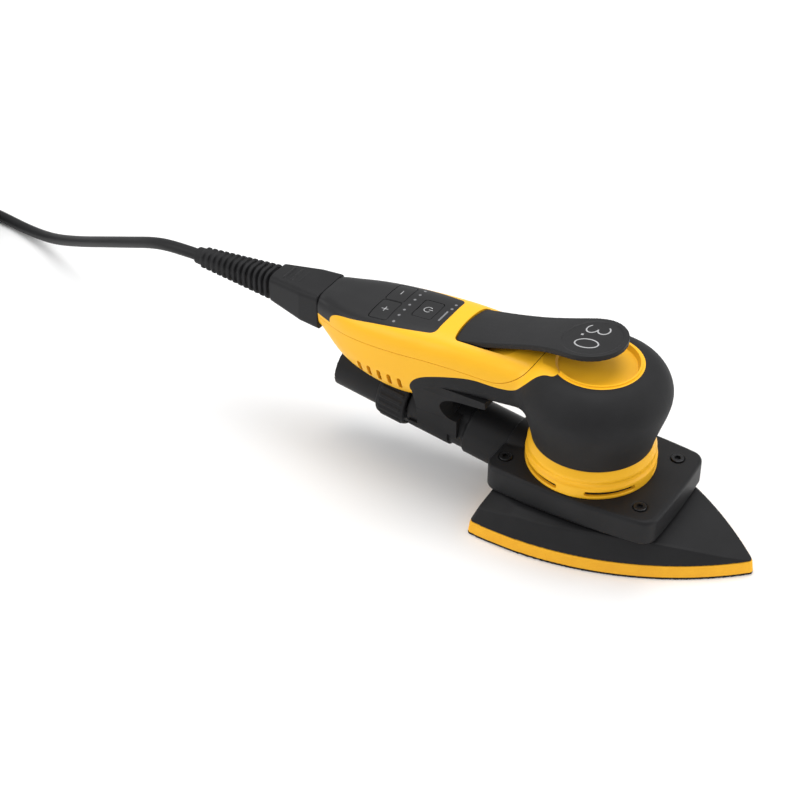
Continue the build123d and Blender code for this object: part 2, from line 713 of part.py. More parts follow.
# ---------------------------------------------------------------- lever
with BuildPart() as lever:
    for x, top_z, crown in LEVER_LINE:
        edge_z = top_z - crown
        with BuildSketch(cross_plane(x)):
            with BuildLine():
                ThreePointArc((-LEVER_BAND_HALF, edge_z), (0, top_z), (LEVER_BAND_HALF, edge_z))
                Line((LEVER_BAND_HALF, edge_z), (LEVER_BAND_HALF, edge_z - LEVER_THICK))
                ThreePointArc(
                    (LEVER_BAND_HALF, edge_z - LEVER_THICK),
                    (0, top_z - LEVER_THICK),
                    (-LEVER_BAND_HALF, edge_z - LEVER_THICK),
                )
                Line((-LEVER_BAND_HALF, edge_z - LEVER_THICK), (-LEVER_BAND_HALF, edge_z))
            make_face()
    loft()
    with BuildSketch(Plane.XY.offset(80)):
        add(lever_outline())
    extrude(amount=45, mode=Mode.INTERSECT)
    with BuildSketch(Plane.XZ):
        with Locations((LEVER_PIVOT_X, LEVER_PIVOT_Z)):
            Circle(3.0)
        with Locations((LEVER_PIVOT_X, LEVER_PIVOT_Z + 3)):
            Rectangle(6, 6)
    extrude(amount=9.8, both=True)
    with BuildSketch(Plane.XY.offset(80)):
        with Locations((LEVER_PIVOT_X, 0)):
            Rectangle(12, 12)
    extrude(amount=14.6, mode=Mode.SUBTRACT)
    with BuildSketch(Plane.XZ):
        with Locations((LEVER_PIVOT_X, LEVER_PIVOT_Z)):
            Circle(PIN_R + RUN_CLEARANCE)
    extrude(amount=20, both=True, mode=Mode.SUBTRACT)
    with BuildSketch(Plane.XY.offset(97.4)):
        with Locations((SPRING_X, 0)):
            Circle(4.0)
    extrude(amount=3.0)
    with BuildSketch(Plane.XY.offset(97.4)):
        with Locations((SPRING_X, 0)):
            Circle(1.5)
    extrude(amount=2.2, mode=Mode.SUBTRACT)

with BuildPart() as lever_magnet:
    with BuildSketch(Plane.XY.offset(97.4)):
        with Locations((SPRING_X, 0)):
            Circle(1.5)
    extrude(amount=2.2)

with BuildPart() as lever_pin:
    with BuildSketch(Plane.XZ):
        with Locations((LEVER_PIVOT_X, LEVER_PIVOT_Z)):
            Circle(PIN_R)
    extrude(amount=13.2, both=True)

with BuildPart() as lever_spring:
    with BuildLine() as spring_path:
        Helix(
            pitch=1.55,
            height=SPRING_TOP_Z - SPRING_FOOT_Z - 1.0,
            radius=3.2,
            center=(SPRING_X, 0, SPRING_FOOT_Z + 0.5),
        )
    with BuildSketch(Plane(origin=spring_path.line @ 0, z_dir=spring_path.line % 0)):
        Circle(0.4)
    sweep()

# ---------------------------------------------------------------- keypad
def key_prism(name, grow, z_from, height):
    """Upright prism over a key's plan outline."""
    (x_low, y_low), (x_high, y_high) = BUTTON_CORNERS[name]
    with BuildPart(mode=Mode.PRIVATE) as prism:
        with BuildSketch(Plane.XY.offset(z_from)):
            with Locations(((x_low + x_high) / 2, (y_low + y_high) / 2)):
                RectangleRounded(x_high - x_low + 2 * grow, y_high - y_low + 2 * grow, 1.6 + grow)
        extrude(amount=height)
    return prism.part


with BuildPart() as keypad_openings:
    for name in BUTTON_CORNERS:
        add(key_prism(name, BUTTON_GAP, 84, 20))
    with BuildSketch(Plane.XY.offset(84)):
        with Locations(*LED_PLACES, *LIGHT_PLACES):
            Circle(LED_R)
    extrude(amount=20)
with BuildPart() as keypad_cover:
    add(body_shell)
    add(keypad_zone.part, mode=Mode.INTERSECT)
    add(keypad_openings.part, mode=Mode.SUBTRACT)


def push_button(name):
    """Key cap that follows the cover's surface, with a stem over its switch."""
    (x_low, y_low), (x_high, y_high) = BUTTON_CORNERS[name]
    with BuildPart(mode=Mode.PRIVATE) as key:
        add(body_shell & key_prism(name, 0, 84, 20))
        with BuildSketch(Plane.XY.offset(SWITCH_TOP_Z + BUTTON_TRAVEL + 0.1)):
            with Locations(((x_low + x_high) / 2, (y_low + y_high) / 2)):
                Circle(2.0)
        extrude(amount=3.6)
    return key.part


with BuildPart() as minus_button:
    add(push_button("minus"))
with BuildPart() as plus_button:
    add(push_button("plus"))
with BuildPart() as power_button:
    add(push_button("power"))

with BuildPart() as level_lights:
    with BuildSketch(Plane.XY.offset(84)):
        with Locations(*LED_PLACES):
            Circle(LED_R)
    extrude(amount=20)
    add(body_shell, mode=Mode.INTERSECT)
with BuildPart() as status_lights:
    with BuildSketch(Plane.XY.offset(84)):
        with Locations(*LIGHT_PLACES):
            Circle(LED_R)
    extrude(amount=20)
    add(body_shell, mode=Mode.INTERSECT)

with BuildPart() as keypad_board:
    with BuildSketch(Plane.XY.offset(BOARD_TOP_Z - 1.2)):
        with Locations((-109.5, 0)):
            RectangleRounded(44, 30, 2)
    extrude(amount=1.2)

with BuildPart() as keypad_switches:
    for (x_low, y_low), (x_high, y_high) in BUTTON_CORNERS.values():
        centre = ((x_low + x_high) / 2, (y_low + y_high) / 2)
        with BuildSketch(Plane.XY.offset(BOARD_TOP_Z)):
            with Locations(centre):
                Rectangle(6, 6)
        extrude(amount=2.4)
        with BuildSketch(Plane.XY.offset(BOARD_TOP_Z + 2.4)):
            with Locations(centre):
                Circle(1.7)
        extrude(amount=SWITCH_TOP_Z - BOARD_TOP_Z - 2.4)

# ---------------------------------------------------------------- electronics
with BuildPart() as control_board:
    with BuildSketch(Plane.XY.offset(CONTROL_Z)):
        with Locations((-96, 0)):
            RectangleRounded(102, 28, 2)
    extrude(amount=1.6)
with BuildPart() as power_capacitors:
    with BuildSketch(Plane.XY.offset(CONTROL_Z + 1.6)):
        with Locations((-84, -7), (-84, 7)):
            Circle(5.5)
    extrude(amount=9.6)
    chamfer(power_capacitors.edges().group_by(Axis.Z)[-1], 0.5)
with BuildPart() as power_modules:
    with BuildSketch(Plane.XY.offset(CONTROL_Z + 1.6)):
        with Locations(*[(-134 + 12 * step, 0) for step in range(3)]):
            Rectangle(8, 14)
    extrude(amount=2.6)
with BuildPart() as heat_sink:
    with BuildSketch(Plane.XY.offset(61)):
        with Locations((-122, 0)):
            Rectangle(38, 20)
    extrude(amount=CONTROL_Z - 61)
    with BuildSketch(Plane.YZ.offset(-150)):
        with Locations(*[(-8 + 4 * step, 63.5) for step in range(5)]):
            Rectangle(2.2, 6)
    extrude(amount=60, mode=Mode.SUBTRACT)
with BuildPart() as lever_sensor:
    with BuildSketch(Plane.XY.offset(CONTROL_Z + 1.6)):
        with Locations((-51, 0)):
            Rectangle(5, 8)
    extrude(amount=11.0)
with BuildPart() as inlet_socket:
    with BuildSketch(cross_plane(-164.6, INLET_Z)):
        Circle(INLET_R)
    extrude(amount=4.4)
    with BuildSketch(cross_plane(-160.2, INLET_Z)):
        RectangleRounded(19, 15, 3)
    extrude(amount=9)
with BuildPart() as inlet_pins:
    with BuildSketch(cross_plane(-171, INLET_Z)):
        with Locations((-3.6, -1.8), (3.6, -1.8), (0, 3.4)):
            Circle(1.1)
    extrude(amount=6.4)

# ---------------------------------------------------------------- motor
with BuildPart() as motor_shaft:
    with BuildSketch(Plane.XY.offset(37)):
        Circle(SHAFT_R)
    extrude(amount=51.4)
    with BuildSketch(Plane.XY.offset(88.4)):
        Circle(SHAFT_TOP_R)
    extrude(amount=SHAFT_TOP_Z - 88.4)
with BuildPart() as eccentric_hub:
    with BuildSketch(Plane.XY.offset(ORBIT_BEARING_Z - 0.5)):
        with Locations((ORBIT_OFFSET, 0)):
            Circle(JOURNAL_R - 0.01)
    extrude(amount=8.2)
    with BuildSketch(Plane.XY.offset(ORBIT_BEARING_Z + 7.7)):
        Circle(8.5)
    extrude(amount=37 - ORBIT_BEARING_Z - 7.7)
    with BuildSketch(Plane.XY.offset(20)):
        with Locations((ORBIT_OFFSET, 0)):
            Circle(1.6)
    extrude(amount=10, mode=Mode.SUBTRACT)
with BuildPart() as spindle_bolt:
    with BuildSketch(Plane.XY.offset(ORBIT_BEARING_Z - 3.4)):
        with Locations((ORBIT_OFFSET, 0)):
            Circle(5.4)
    extrude(amount=2.9)
    with BuildSketch(Plane.XY.offset(ORBIT_BEARING_Z - 0.5)):
        with Locations((ORBIT_OFFSET, 0)):
            Circle(1.6)
    extrude(amount=6.5)
    with BuildSketch(Plane.XY.offset(ORBIT_BEARING_Z - 3.4)):
        with Locations((ORBIT_OFFSET, 0)):
            RegularPolygon(2.2, 6)
    extrude(amount=1.8, mode=Mode.SUBTRACT)
with BuildPart() as counterweight:
    with BuildSketch(Plane.XY.offset(38)):
        Circle(25)
        Rectangle(60, 60, align=(Align.MIN, Align.CENTER), mode=Mode.SUBTRACT)
        Circle(9)
        Circle(SHAFT_R, mode=Mode.SUBTRACT)
    extrude(amount=6.5)
with BuildPart() as cooling_fan:
    with BuildSketch(Plane.XY.offset(45.5)):
        Circle(27)
        Circle(SHAFT_R, mode=Mode.SUBTRACT)
    extrude(amount=1.2)
    with BuildSketch(Plane.XY.offset(46.7)):
        Circle(8.5)
        Circle(SHAFT_R, mode=Mode.SUBTRACT)
        with PolarLocations(18, 12):
            Rectangle(16, 1.2, rotation=25)
    extrude(amount=5.6)
with BuildPart() as rotor_magnets:
    with BuildSketch(Plane.XY.offset(67)):
        Circle(13)
        Circle(SHAFT_R, mode=Mode.SUBTRACT)
    extrude(amount=18)
with BuildPart() as lower_bearing:
    add(ball_bearing((0, 0), 56.5, SHAFT_R, 13.0, 8.0))
with BuildPart() as upper_bearing:
    add(ball_bearing((0, 0), 88.4, SHAFT_TOP_R, 11.0, 6.4))
with BuildPart() as motor_mount:
    with BuildSketch(Plane.XY.offset(53.8)):
        Circle(29.4)
        Circle(6.5, mode=Mode.SUBTRACT)
    extrude(amount=2.7)
    with BuildSketch(Plane.XY.offset(56.5)):
        Circle(15)
        Circle(13, mode=Mode.SUBTRACT)
    extrude(amount=8)
with BuildPart() as motor_can:
    with BuildSketch(Plane.XY.offset(56.5)):
        Circle(28)
        Circle(26, mode=Mode.SUBTRACT)
    extrude(amount=30.1)
with BuildPart() as bearing_bracket:
    with BuildSketch(Plane.XY.offset(86.6)):
        Circle(28)
        Circle(11, mode=Mode.SUBTRACT)
    extrude(amount=1.8)
    with BuildSketch(Plane.XY.offset(88.4)):
        Circle(13)
        Circle(11, mode=Mode.SUBTRACT)
    extrude(amount=6.4)
with BuildPart() as stator_core:
    with BuildSketch(Plane.XY.offset(68)):
        Circle(26)
        Circle(22.5, mode=Mode.SUBTRACT)
        with PolarLocations(18.6, SLOT_COUNT):
            Rectangle(8.4, 4.2)
        with PolarLocations(14.6, SLOT_COUNT):
            Rectangle(1.6, 8.2)
        Circle(13.6, mode=Mode.SUBTRACT)
    extrude(amount=16)
with BuildPart() as stator_windings:
    with BuildSketch(Plane.XY.offset(65.6)):
        with PolarLocations(18.6, SLOT_COUNT):
            Rectangle(5.6, 8.4)
    extrude(amount=20.6)
    fillet(stator_windings.edges().filter_by(Axis.Z), 1.2)
    add(stator_core.part, mode=Mode.SUBTRACT)

# ---------------------------------------------------------------- lead
with BuildPart() as lead_connector:
    for x, width, height, middle in (
        (CONNECTOR_FRONT_X, 28.4, 22.6, 78.9),
        (-176, 27.0, 21.4, 79.0),
        (RELIEF_FRONT_X, 18.4, 17.0, 79.6),
    ):
        with BuildSketch(cross_plane(x, middle)):
            RectangleRounded(width, height, 3.4)
    loft(ruled=True)
    for x in (-181, -186, -191):
        with BuildSketch(cross_plane(x, 88.6)):
            RectangleRounded(12, 1.8, 0.8)
        extrude(amount=1.2)
    with BuildSketch(cross_plane(CONNECTOR_FRONT_X, INLET_Z)):
        Circle(INLET_R + 0.1)
    extrude(amount=-9, mode=Mode.SUBTRACT)

with BuildPart() as strain_relief:
    with BuildSketch(lead_plane(RELIEF_FRONT_X)):
        Circle(7.0)
    with BuildSketch(lead_plane(RELIEF_END_X)):
        Circle(4.9)
    loft()
    for rib in range(RIB_COUNT):
        size = 17.4 - 6.6 * rib / (RIB_COUNT - 1)
        with BuildSketch(lead_plane(-201 - RIB_PITCH * rib)):
            RectangleRounded(size, size, size * 0.3)
        extrude(amount=1.9)


def cord_tube(route):
    """Round cord along straight runs joined by tangent arcs."""
    corners = [Vector(*point) for point in route]
    radii = []
    for before, corner, after in zip(corners, corners[1:], corners[2:]):
        arriving = corner - before
        leaving = after - corner
        half_turn = math.radians(arriving.get_angle(leaving)) / 2
        radii.append(0.45 * min(arriving.length, leaving.length) / math.tan(half_turn))
    print("cord radii", [round(radius, 1) for radius in radii])
    with BuildPart(mode=Mode.PRIVATE) as tube:
        with BuildLine() as path:
            FilletPolyline(*corners, radius=radii)
        with BuildSketch(Plane(origin=path.line @ 0, z_dir=path.line % 0)):
            Circle(CORD_R)
        sweep(path=path.line)
    length = path.wires()[0].length
    share = tube.part.volume / (math.pi * CORD_R**2 * length)
    print("cord length", round(length, 1), "volume share", round(share, 4))
    return tube.part


with BuildPart() as lead_cord:
    add(cord_tube(LEAD_ROUTE))
with BuildPart() as lead_tail:
    add(cord_tube(TAIL_ROUTE))
coil_plane = Plane(origin=(*COIL_CENTRE, 0), x_dir=(1, 0, 0), z_dir=(0, -1, 0))
with BuildPart() as lead_coil:
    with BuildSketch(coil_plane):
        with Locations(((COIL_INNER_R + COIL_OUTER_R) / 2, COIL_BASE_Z + COIL_HEIGHT / 2)):
            RectangleRounded(COIL_OUTER_R - COIL_INNER_R, COIL_HEIGHT, CORD_R)
    revolve(axis=Axis((*COIL_CENTRE, 0), (0, 0, 1)))
with BuildPart() as coil_tie:
    with BuildSketch(coil_plane):
        with Locations(((COIL_INNER_R + COIL_OUTER_R) / 2, COIL_BASE_Z + COIL_HEIGHT / 2)):
            RectangleRounded(COIL_OUTER_R - COIL_INNER_R + 2.6, COIL_HEIGHT + 2, CORD_R + 1)
    extrude(amount=6, both=True)
    add(lead_coil.part, mode=Mode.SUBTRACT)

plug_axis = (Vector(*TAIL_ROUTE[-1]) - Vector(*TAIL_ROUTE[-2])).normalized()
plug_plane = Plane(origin=TAIL_ROUTE[-1], x_dir=plug_axis.cross(Vector(0, 0, 1)), z_dir=plug_axis)
with BuildPart() as plug_body:
    with BuildSketch(plug_plane):
        Circle(4.6)
    with BuildSketch(plug_plane.offset(30)):
        Circle(8.0)
    loft()
    with BuildSketch(plug_plane.offset(30)):
        Circle(9.5)
    with BuildSketch(plug_plane.offset(44)):
        Circle(16.0)
    with BuildSketch(plug_plane.offset(60)):
        Circle(PLUG_FLANGE_R)
    loft(ruled=True)
with BuildPart() as plug_pins:
    with BuildSketch(plug_plane.offset(60)):
        with Locations((-9.5, 0), (9.5, 0)):
            Circle(2.4)
    extrude(amount=19)
    fillet(plug_pins.edges().filter_by(GeomType.CIRCLE).sort_by(Axis.Y)[0:2], 1.2)

# ---------------------------------------------------------------- export
abrasive_sheet.part.label = "abrasive_sheet"
export_step(abrasive_sheet.part, "parts/abrasive_sheet.step")
foam_layer.part.label = "foam_layer"
export_step(foam_layer.part, "parts/foam_layer.step")
platen.part.label = "platen"
export_step(platen.part, "parts/platen.step")
orbit_bearing.part.label = "orbit_bearing"
export_step(orbit_bearing.part, "parts/orbit_bearing.step")
bearing_clip.part.label = "bearing_clip"
export_step(bearing_clip.part, "parts/bearing_clip.step")
shroud.part.label = "shroud"
export_step(shroud.part, "parts/shroud.step")
shroud_screws.part.label = "shroud_screws"
export_step(shroud_screws.part, "parts/shroud_screws.step")
flexible_legs.part.label = "flexible_legs"
export_step(flexible_legs.part, "parts/flexible_legs.step")
vent_ring.part.label = "vent_ring"
export_step(vent_ring.part, "parts/vent_ring.step")
upper_cover.part.label = "upper_cover"
export_step(upper_cover.part, "parts/upper_cover.step")
lower_housing.part.label = "lower_housing"
export_step(lower_housing.part, "parts/lower_housing.step")
rubber_grip.part.label = "rubber_grip"
export_step(rubber_grip.part, "parts/rubber_grip.step")
dust_duct.part.label = "dust_duct"
export_step(dust_duct.part, "parts/dust_duct.step")
hose_socket.part.label = "hose_socket"
export_step(hose_socket.part, "parts/hose_socket.step")
locking_collar.part.label = "locking_collar"
export_step(locking_collar.part, "parts/locking_collar.step")
lever.part.label = "lever"
export_step(lever.part, "parts/lever.step")
lever_magnet.part.label = "lever_magnet"
export_step(lever_magnet.part, "parts/lever_magnet.step")
lever_pin.part.label = "lever_pin"
export_step(lever_pin.part, "parts/lever_pin.step")
lever_spring.part.label = "lever_spring"
export_step(lever_spring.part, "parts/lever_spring.step")
keypad_cover.part.label = "keypad_cover"
export_step(keypad_cover.part, "parts/keypad_cover.step")
minus_button.part.label = "minus_button"
export_step(minus_button.part, "parts/minus_button.step")
plus_button.part.label = "plus_button"
export_step(plus_button.part, "parts/plus_button.step")
power_button.part.label = "power_button"
export_step(power_button.part, "parts/power_button.step")
level_lights.part.label = "level_lights"
export_step(level_lights.part, "parts/level_lights.step")
status_lights.part.label = "status_lights"
export_step(status_lights.part, "parts/status_lights.step")
keypad_board.part.label = "keypad_board"
export_step(keypad_board.part, "parts/keypad_board.step")
keypad_switches.part.label = "keypad_switches"
export_step(keypad_switches.part, "parts/keypad_switches.step")
control_board.part.label = "control_board"
export_step(control_board.part, "parts/control_board.step")
power_capacitors.part.label = "power_capacitors"
export_step(power_capacitors.part, "parts/power_capacitors.step")
power_modules.part.label = "power_modules"
export_step(power_modules.part, "parts/power_modules.step")
heat_sink.part.label = "heat_sink"
export_step(heat_sink.part, "parts/heat_sink.step")
lever_sensor.part.label = "lever_sensor"
export_step(lever_sensor.part, "parts/lever_sensor.step")
inlet_socket.part.label = "inlet_socket"
export_step(inlet_socket.part, "parts/inlet_socket.step")
inlet_pins.part.label = "inlet_pins"
export_step(inlet_pins.part, "parts/inlet_pins.step")
motor_shaft.part.label = "motor_shaft"
export_step(motor_shaft.part, "parts/motor_shaft.step")
eccentric_hub.part.label = "eccentric_hub"
export_step(eccentric_hub.part, "parts/eccentric_hub.step")
spindle_bolt.part.label = "spindle_bolt"
export_step(spindle_bolt.part, "parts/spindle_bolt.step")
counterweight.part.label = "counterweight"
export_step(counterweight.part, "parts/counterweight.step")
cooling_fan.part.label = "cooling_fan"
export_step(cooling_fan.part, "parts/cooling_fan.step")
rotor_magnets.part.label = "rotor_magnets"
export_step(rotor_magnets.part, "parts/rotor_magnets.step")
lower_bearing.part.label = "lower_bearing"
export_step(lower_bearing.part, "parts/lower_bearing.step")
upper_bearing.part.label = "upper_bearing"
export_step(upper_bearing.part, "parts/upper_bearing.step")
motor_mount.part.label = "motor_mount"
export_step(motor_mount.part, "parts/motor_mount.step")
motor_can.part.label = "motor_can"
export_step(motor_can.part, "parts/motor_can.step")
bearing_bracket.part.label = "bearing_bracket"
export_step(bearing_bracket.part, "parts/bearing_bracket.step")
stator_core.part.label = "stator_core"
export_step(stator_core.part, "parts/stator_core.step")
stator_windings.part.label = "stator_windings"
export_step(stator_windings.part, "parts/stator_windings.step")
lead_connector.part.label = "lead_connector"
export_step(lead_connector.part, "parts/lead_connector.step")
strain_relief.part.label = "strain_relief"
export_step(strain_relief.part, "parts/strain_relief.step")
lead_cord.part.label = "lead_cord"
export_step(lead_cord.part, "parts/lead_cord.step")
lead_tail.part.label = "lead_tail"
export_step(lead_tail.part, "parts/lead_tail.step")
lead_coil.part.label = "lead_coil"
export_step(lead_coil.part, "parts/lead_coil.step")
coil_tie.part.label = "coil_tie"
export_step(coil_tie.part, "parts/coil_tie.step")
plug_body.part.label = "plug_body"
export_step(plug_body.part, "parts/plug_body.step")
plug_pins.part.label = "plug_pins"
export_step(plug_pins.part, "parts/plug_pins.step")
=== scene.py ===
import json
import math

import bmesh
import bpy
from mathutils import Matrix, Vector, noise
from mathutils.bvhtree import BVHTree


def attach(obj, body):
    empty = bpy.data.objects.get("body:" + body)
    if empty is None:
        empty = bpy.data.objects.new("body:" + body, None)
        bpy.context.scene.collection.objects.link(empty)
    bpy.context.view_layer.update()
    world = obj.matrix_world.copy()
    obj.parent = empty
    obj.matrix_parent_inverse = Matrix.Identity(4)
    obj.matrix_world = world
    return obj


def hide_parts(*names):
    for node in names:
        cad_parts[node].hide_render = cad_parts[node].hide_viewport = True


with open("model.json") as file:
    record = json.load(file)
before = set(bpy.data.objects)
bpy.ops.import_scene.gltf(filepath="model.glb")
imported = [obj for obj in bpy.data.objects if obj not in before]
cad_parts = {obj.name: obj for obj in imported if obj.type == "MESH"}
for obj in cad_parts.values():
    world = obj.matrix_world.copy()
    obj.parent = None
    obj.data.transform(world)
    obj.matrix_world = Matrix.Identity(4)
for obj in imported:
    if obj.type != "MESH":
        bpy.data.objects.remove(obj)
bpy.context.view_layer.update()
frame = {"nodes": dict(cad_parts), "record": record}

MM = 0.001
NODES = frame["nodes"]
BODIES = frame["record"]["behaviour"]["bodies"]
BODY_OF = {node: body for body, nodes in BODIES.items() for node in nodes}
SLOT_OF = {part["node"]: part["material_slot"] for part in frame["record"]["subparts"]}

# ------------------------------------------------------------------ camera
AZIMUTH = math.radians(31.34)
ELEVATION = math.radians(37.45)
TARGET = Vector((-0.1038, -0.0245, 0.050))
DISTANCE = 1.02275
camera_data = bpy.data.cameras.new("camera")
camera_data.lens = 85.0
camera_data.sensor_width = 36.0
camera_data.clip_start = 0.05
camera_data.clip_end = 50.0
camera = bpy.data.objects.new("camera", camera_data)
bpy.context.collection.objects.link(camera)
back = Vector((
    math.sin(AZIMUTH) * math.cos(ELEVATION),
    -math.cos(AZIMUTH) * math.cos(ELEVATION),
    math.sin(ELEVATION),
))
camera.location = TARGET + back * DISTANCE
camera.rotation_mode = "QUATERNION"
camera.rotation_quaternion = (-back).to_track_quat("-Z", "Y")
bpy.context.scene.camera = camera


# ------------------------------------------------------------------ materials
def material(name, color, rough, grain=900.0, depth=0.02, tint=0.08, blotch=60.0, rough_span=0.08,
             metallic=0.0, detail=4.0, coat=0.0, specular=0.5):
    """Procedural finish: a fine grain in relief, slow colour variation and uneven gloss."""
    mat = bpy.data.materials.new(name)
    mat.use_nodes = True
    tree = mat.node_tree
    nodes, links = tree.nodes, tree.links
    shader = nodes["Principled BSDF"]
    shader.inputs["Metallic"].default_value = metallic
    shader.inputs["Specular IOR Level"].default_value = specular
    shader.inputs["Coat Weight"].default_value = coat
    shader.inputs["Coat Roughness"].default_value = 0.15
    place = nodes.new("ShaderNodeTexCoord")
    slow = nodes.new("ShaderNodeTexNoise")
    slow.inputs["Scale"].default_value = blotch
    slow.inputs["Detail"].default_value = 5.0
    fine = nodes.new("ShaderNodeTexNoise")
    fine.inputs["Scale"].default_value = grain
    fine.inputs["Detail"].default_value = detail
    fine.inputs["Roughness"].default_value = 0.6
    links.new(place.outputs["Object"], slow.inputs["Vector"])
    links.new(place.outputs["Object"], fine.inputs["Vector"])
    ramp = nodes.new("ShaderNodeValToRGB")
    low = [c * (1 - tint) for c in color]
    high = [min(1.0, c * (1 + tint)) for c in color]
    ramp.color_ramp.elements[0].position = 0.32
    ramp.color_ramp.elements[0].color = (*low, 1)
    ramp.color_ramp.elements[1].position = 0.68
    ramp.color_ramp.elements[1].color = (*high, 1)
    links.new(slow.outputs["Fac"], ramp.inputs["Fac"])
    links.new(ramp.outputs["Color"], shader.inputs["Base Color"])
    gloss = nodes.new("ShaderNodeMapRange")
    gloss.inputs["To Min"].default_value = max(0.02, rough - rough_span)
    gloss.inputs["To Max"].default_value = min(1.0, rough + rough_span)
    links.new(fine.outputs["Fac"], gloss.inputs["Value"])
    links.new(gloss.outputs["Result"], shader.inputs["Roughness"])
    bump = nodes.new("ShaderNodeBump")
    bump.inputs["Strength"].default_value = 0.6
    bump.inputs["Distance"].default_value = depth * MM
    links.new(fine.outputs["Fac"], bump.inputs["Height"])
    links.new(bump.outputs["Normal"], shader.inputs["Normal"])
    return mat


def speckled(mat, cell_scale, color, amount):
    """Adds scattered flecks of a second colour, as grit or open pores."""
    tree = mat.node_tree
    nodes, links = tree.nodes, tree.links
    shader = nodes["Principled BSDF"]
    place = nodes.new("ShaderNodeTexCoord")
    cells = nodes.new("ShaderNodeTexVoronoi")
    cells.inputs["Scale"].default_value = cell_scale
    links.new(place.outputs["Object"], cells.inputs["Vector"])
    pick = nodes.new("ShaderNodeMapRange")
    pick.inputs["From Min"].default_value = amount
    pick.inputs["From Max"].default_value = amount * 0.5
    links.new(cells.outputs["Distance"], pick.inputs["Value"])
    mix = nodes.new("ShaderNodeMixRGB")
    mix.inputs["Color2"].default_value = (*color, 1)
    source = shader.inputs["Base Color"].links[0].from_socket
    links.new(pick.outputs["Result"], mix.inputs["Fac"])
    links.new(source, mix.inputs["Color1"])
    links.new(mix.outputs["Color"], shader.inputs["Base Color"])
    return mat


YELLOW = (1.0, 0.515, 0.02)
# Specular level of the matte blacks
DULL = 0.18
FINISH = {
    "abrasive": speckled(material("abrasive", (0.014, 0.014, 0.014), rough=0.75, grain=2600, depth=0.12,
                                  tint=0.3, blotch=900, rough_span=0.2, specular=DULL),
                         2400, (0.12, 0.12, 0.12), 0.35),
    "pad_foam": speckled(material("pad_foam", (1.0, 0.49, 0.035), rough=0.85, grain=2200, depth=0.06,
                                  tint=0.05, blotch=140, rough_span=0.08, specular=DULL),
                         1900, (0.8, 0.3, 0.01), 0.22),
    "black_plastic": material("black_plastic", (0.015, 0.015, 0.016), rough=0.46, grain=1500, depth=0.02,
                              tint=0.12, blotch=50, rough_span=0.06, specular=DULL),
    "keypad_plastic": material("keypad_plastic", (0.015, 0.015, 0.016), rough=0.42, grain=1800, depth=0.012,
                               tint=0.1, blotch=60, rough_span=0.05, specular=0.25),
    "lever_plastic": material("lever_plastic", (0.015, 0.015, 0.016), rough=0.45, grain=1700, depth=0.016,
                              tint=0.1, blotch=60, rough_span=0.06, specular=0.22),
    "yellow_plastic": material("yellow_plastic", YELLOW, rough=0.36, grain=1300, depth=0.008,
                               tint=0.02, blotch=35, rough_span=0.05, specular=0.25),
    "black_rubber": material("black_rubber", (0.017, 0.017, 0.018), rough=0.62, grain=1900, depth=0.03,
                             tint=0.15, blotch=45, rough_span=0.08, specular=DULL),
    "cord_rubber": material("cord_rubber", (0.011, 0.011, 0.012), rough=0.5, grain=1600, depth=0.015,
                            tint=0.1, blotch=60, rough_span=0.07, specular=0.25),
    "light_lens": material("light_lens", (0.2, 0.2, 0.21), rough=0.25, grain=3000, depth=0.004,
                           tint=0.05, blotch=300, rough_span=0.05),
    "circuit_board": material("circuit_board", (0.02, 0.16, 0.06), rough=0.35, grain=1500, depth=0.01,
                              tint=0.1, blotch=200, rough_span=0.08),
    "bearing_steel": material("bearing_steel", (0.62, 0.62, 0.64), rough=0.28, grain=2500, depth=0.005,
                              tint=0.04, blotch=120, rough_span=0.08, metallic=1.0),
    "black_steel": material("black_steel", (0.03, 0.03, 0.032), rough=0.3, grain=2500, depth=0.008,
                            tint=0.1, blotch=120, rough_span=0.08, metallic=0.7),
    "aluminium_case": material("aluminium_case", (0.72, 0.72, 0.74), rough=0.4, grain=1800, depth=0.02,
                               tint=0.05, blotch=90, rough_span=0.1, metallic=1.0),
    "copper_wire": material("copper_wire", (0.7, 0.3, 0.13), rough=0.35, grain=3000, depth=0.04,
                            tint=0.12, blotch=400, rough_span=0.1, metallic=1.0),
    "brass_pins": material("brass_pins", (0.8, 0.6, 0.28), rough=0.25, grain=2500, depth=0.004,
                           tint=0.04, blotch=200, rough_span=0.06, metallic=1.0),
    "plug_metal": material("plug_metal", (0.78, 0.78, 0.8), rough=0.2, grain=2500, depth=0.003,
                           tint=0.03, blotch=200, rough_span=0.06, metallic=1.0),
}
PRINT = material("printed_mark", (0.42, 0.42, 0.43), rough=0.5, grain=2500, depth=0.004,
                 tint=0.04, blotch=300, rough_span=0.04)
FLOOR = material("studio_floor", (0.93, 0.93, 0.93), rough=0.9, grain=300, depth=0.01,
                 tint=0.01, blotch=4, rough_span=0.02)
STRAP = material("hook_tape", (0.02, 0.02, 0.021), rough=0.9, grain=3200, depth=0.2,
                 tint=0.3, blotch=1800, rough_span=0.08)

for node, obj in NODES.items():
    obj.data.materials.clear()
    obj.data.materials.append(FINISH[SLOT_OF[node]])


# ------------------------------------------------------------------ mesh helpers
def link_piece(name, mesh, mat):
    """New object of one mesh and one finish in the scene."""
    mesh.materials.clear()
    mesh.materials.append(mat)
    piece = bpy.data.objects.new(name, mesh)
    bpy.context.collection.objects.link(piece)
    return piece


def shade_smooth(mesh):
    mesh.polygons.foreach_set("use_smooth", [True] * len(mesh.polygons))


def merged_copy(node):
    """The node's mesh with the doubled points of its sharp edges joined."""
    mesh = NODES[node].data.copy()
    work = bmesh.new()
    work.from_mesh(mesh)
    bmesh.ops.remove_doubles(work, verts=work.verts, dist=1e-6)
    work.to_mesh(mesh)
    work.free()
    return mesh


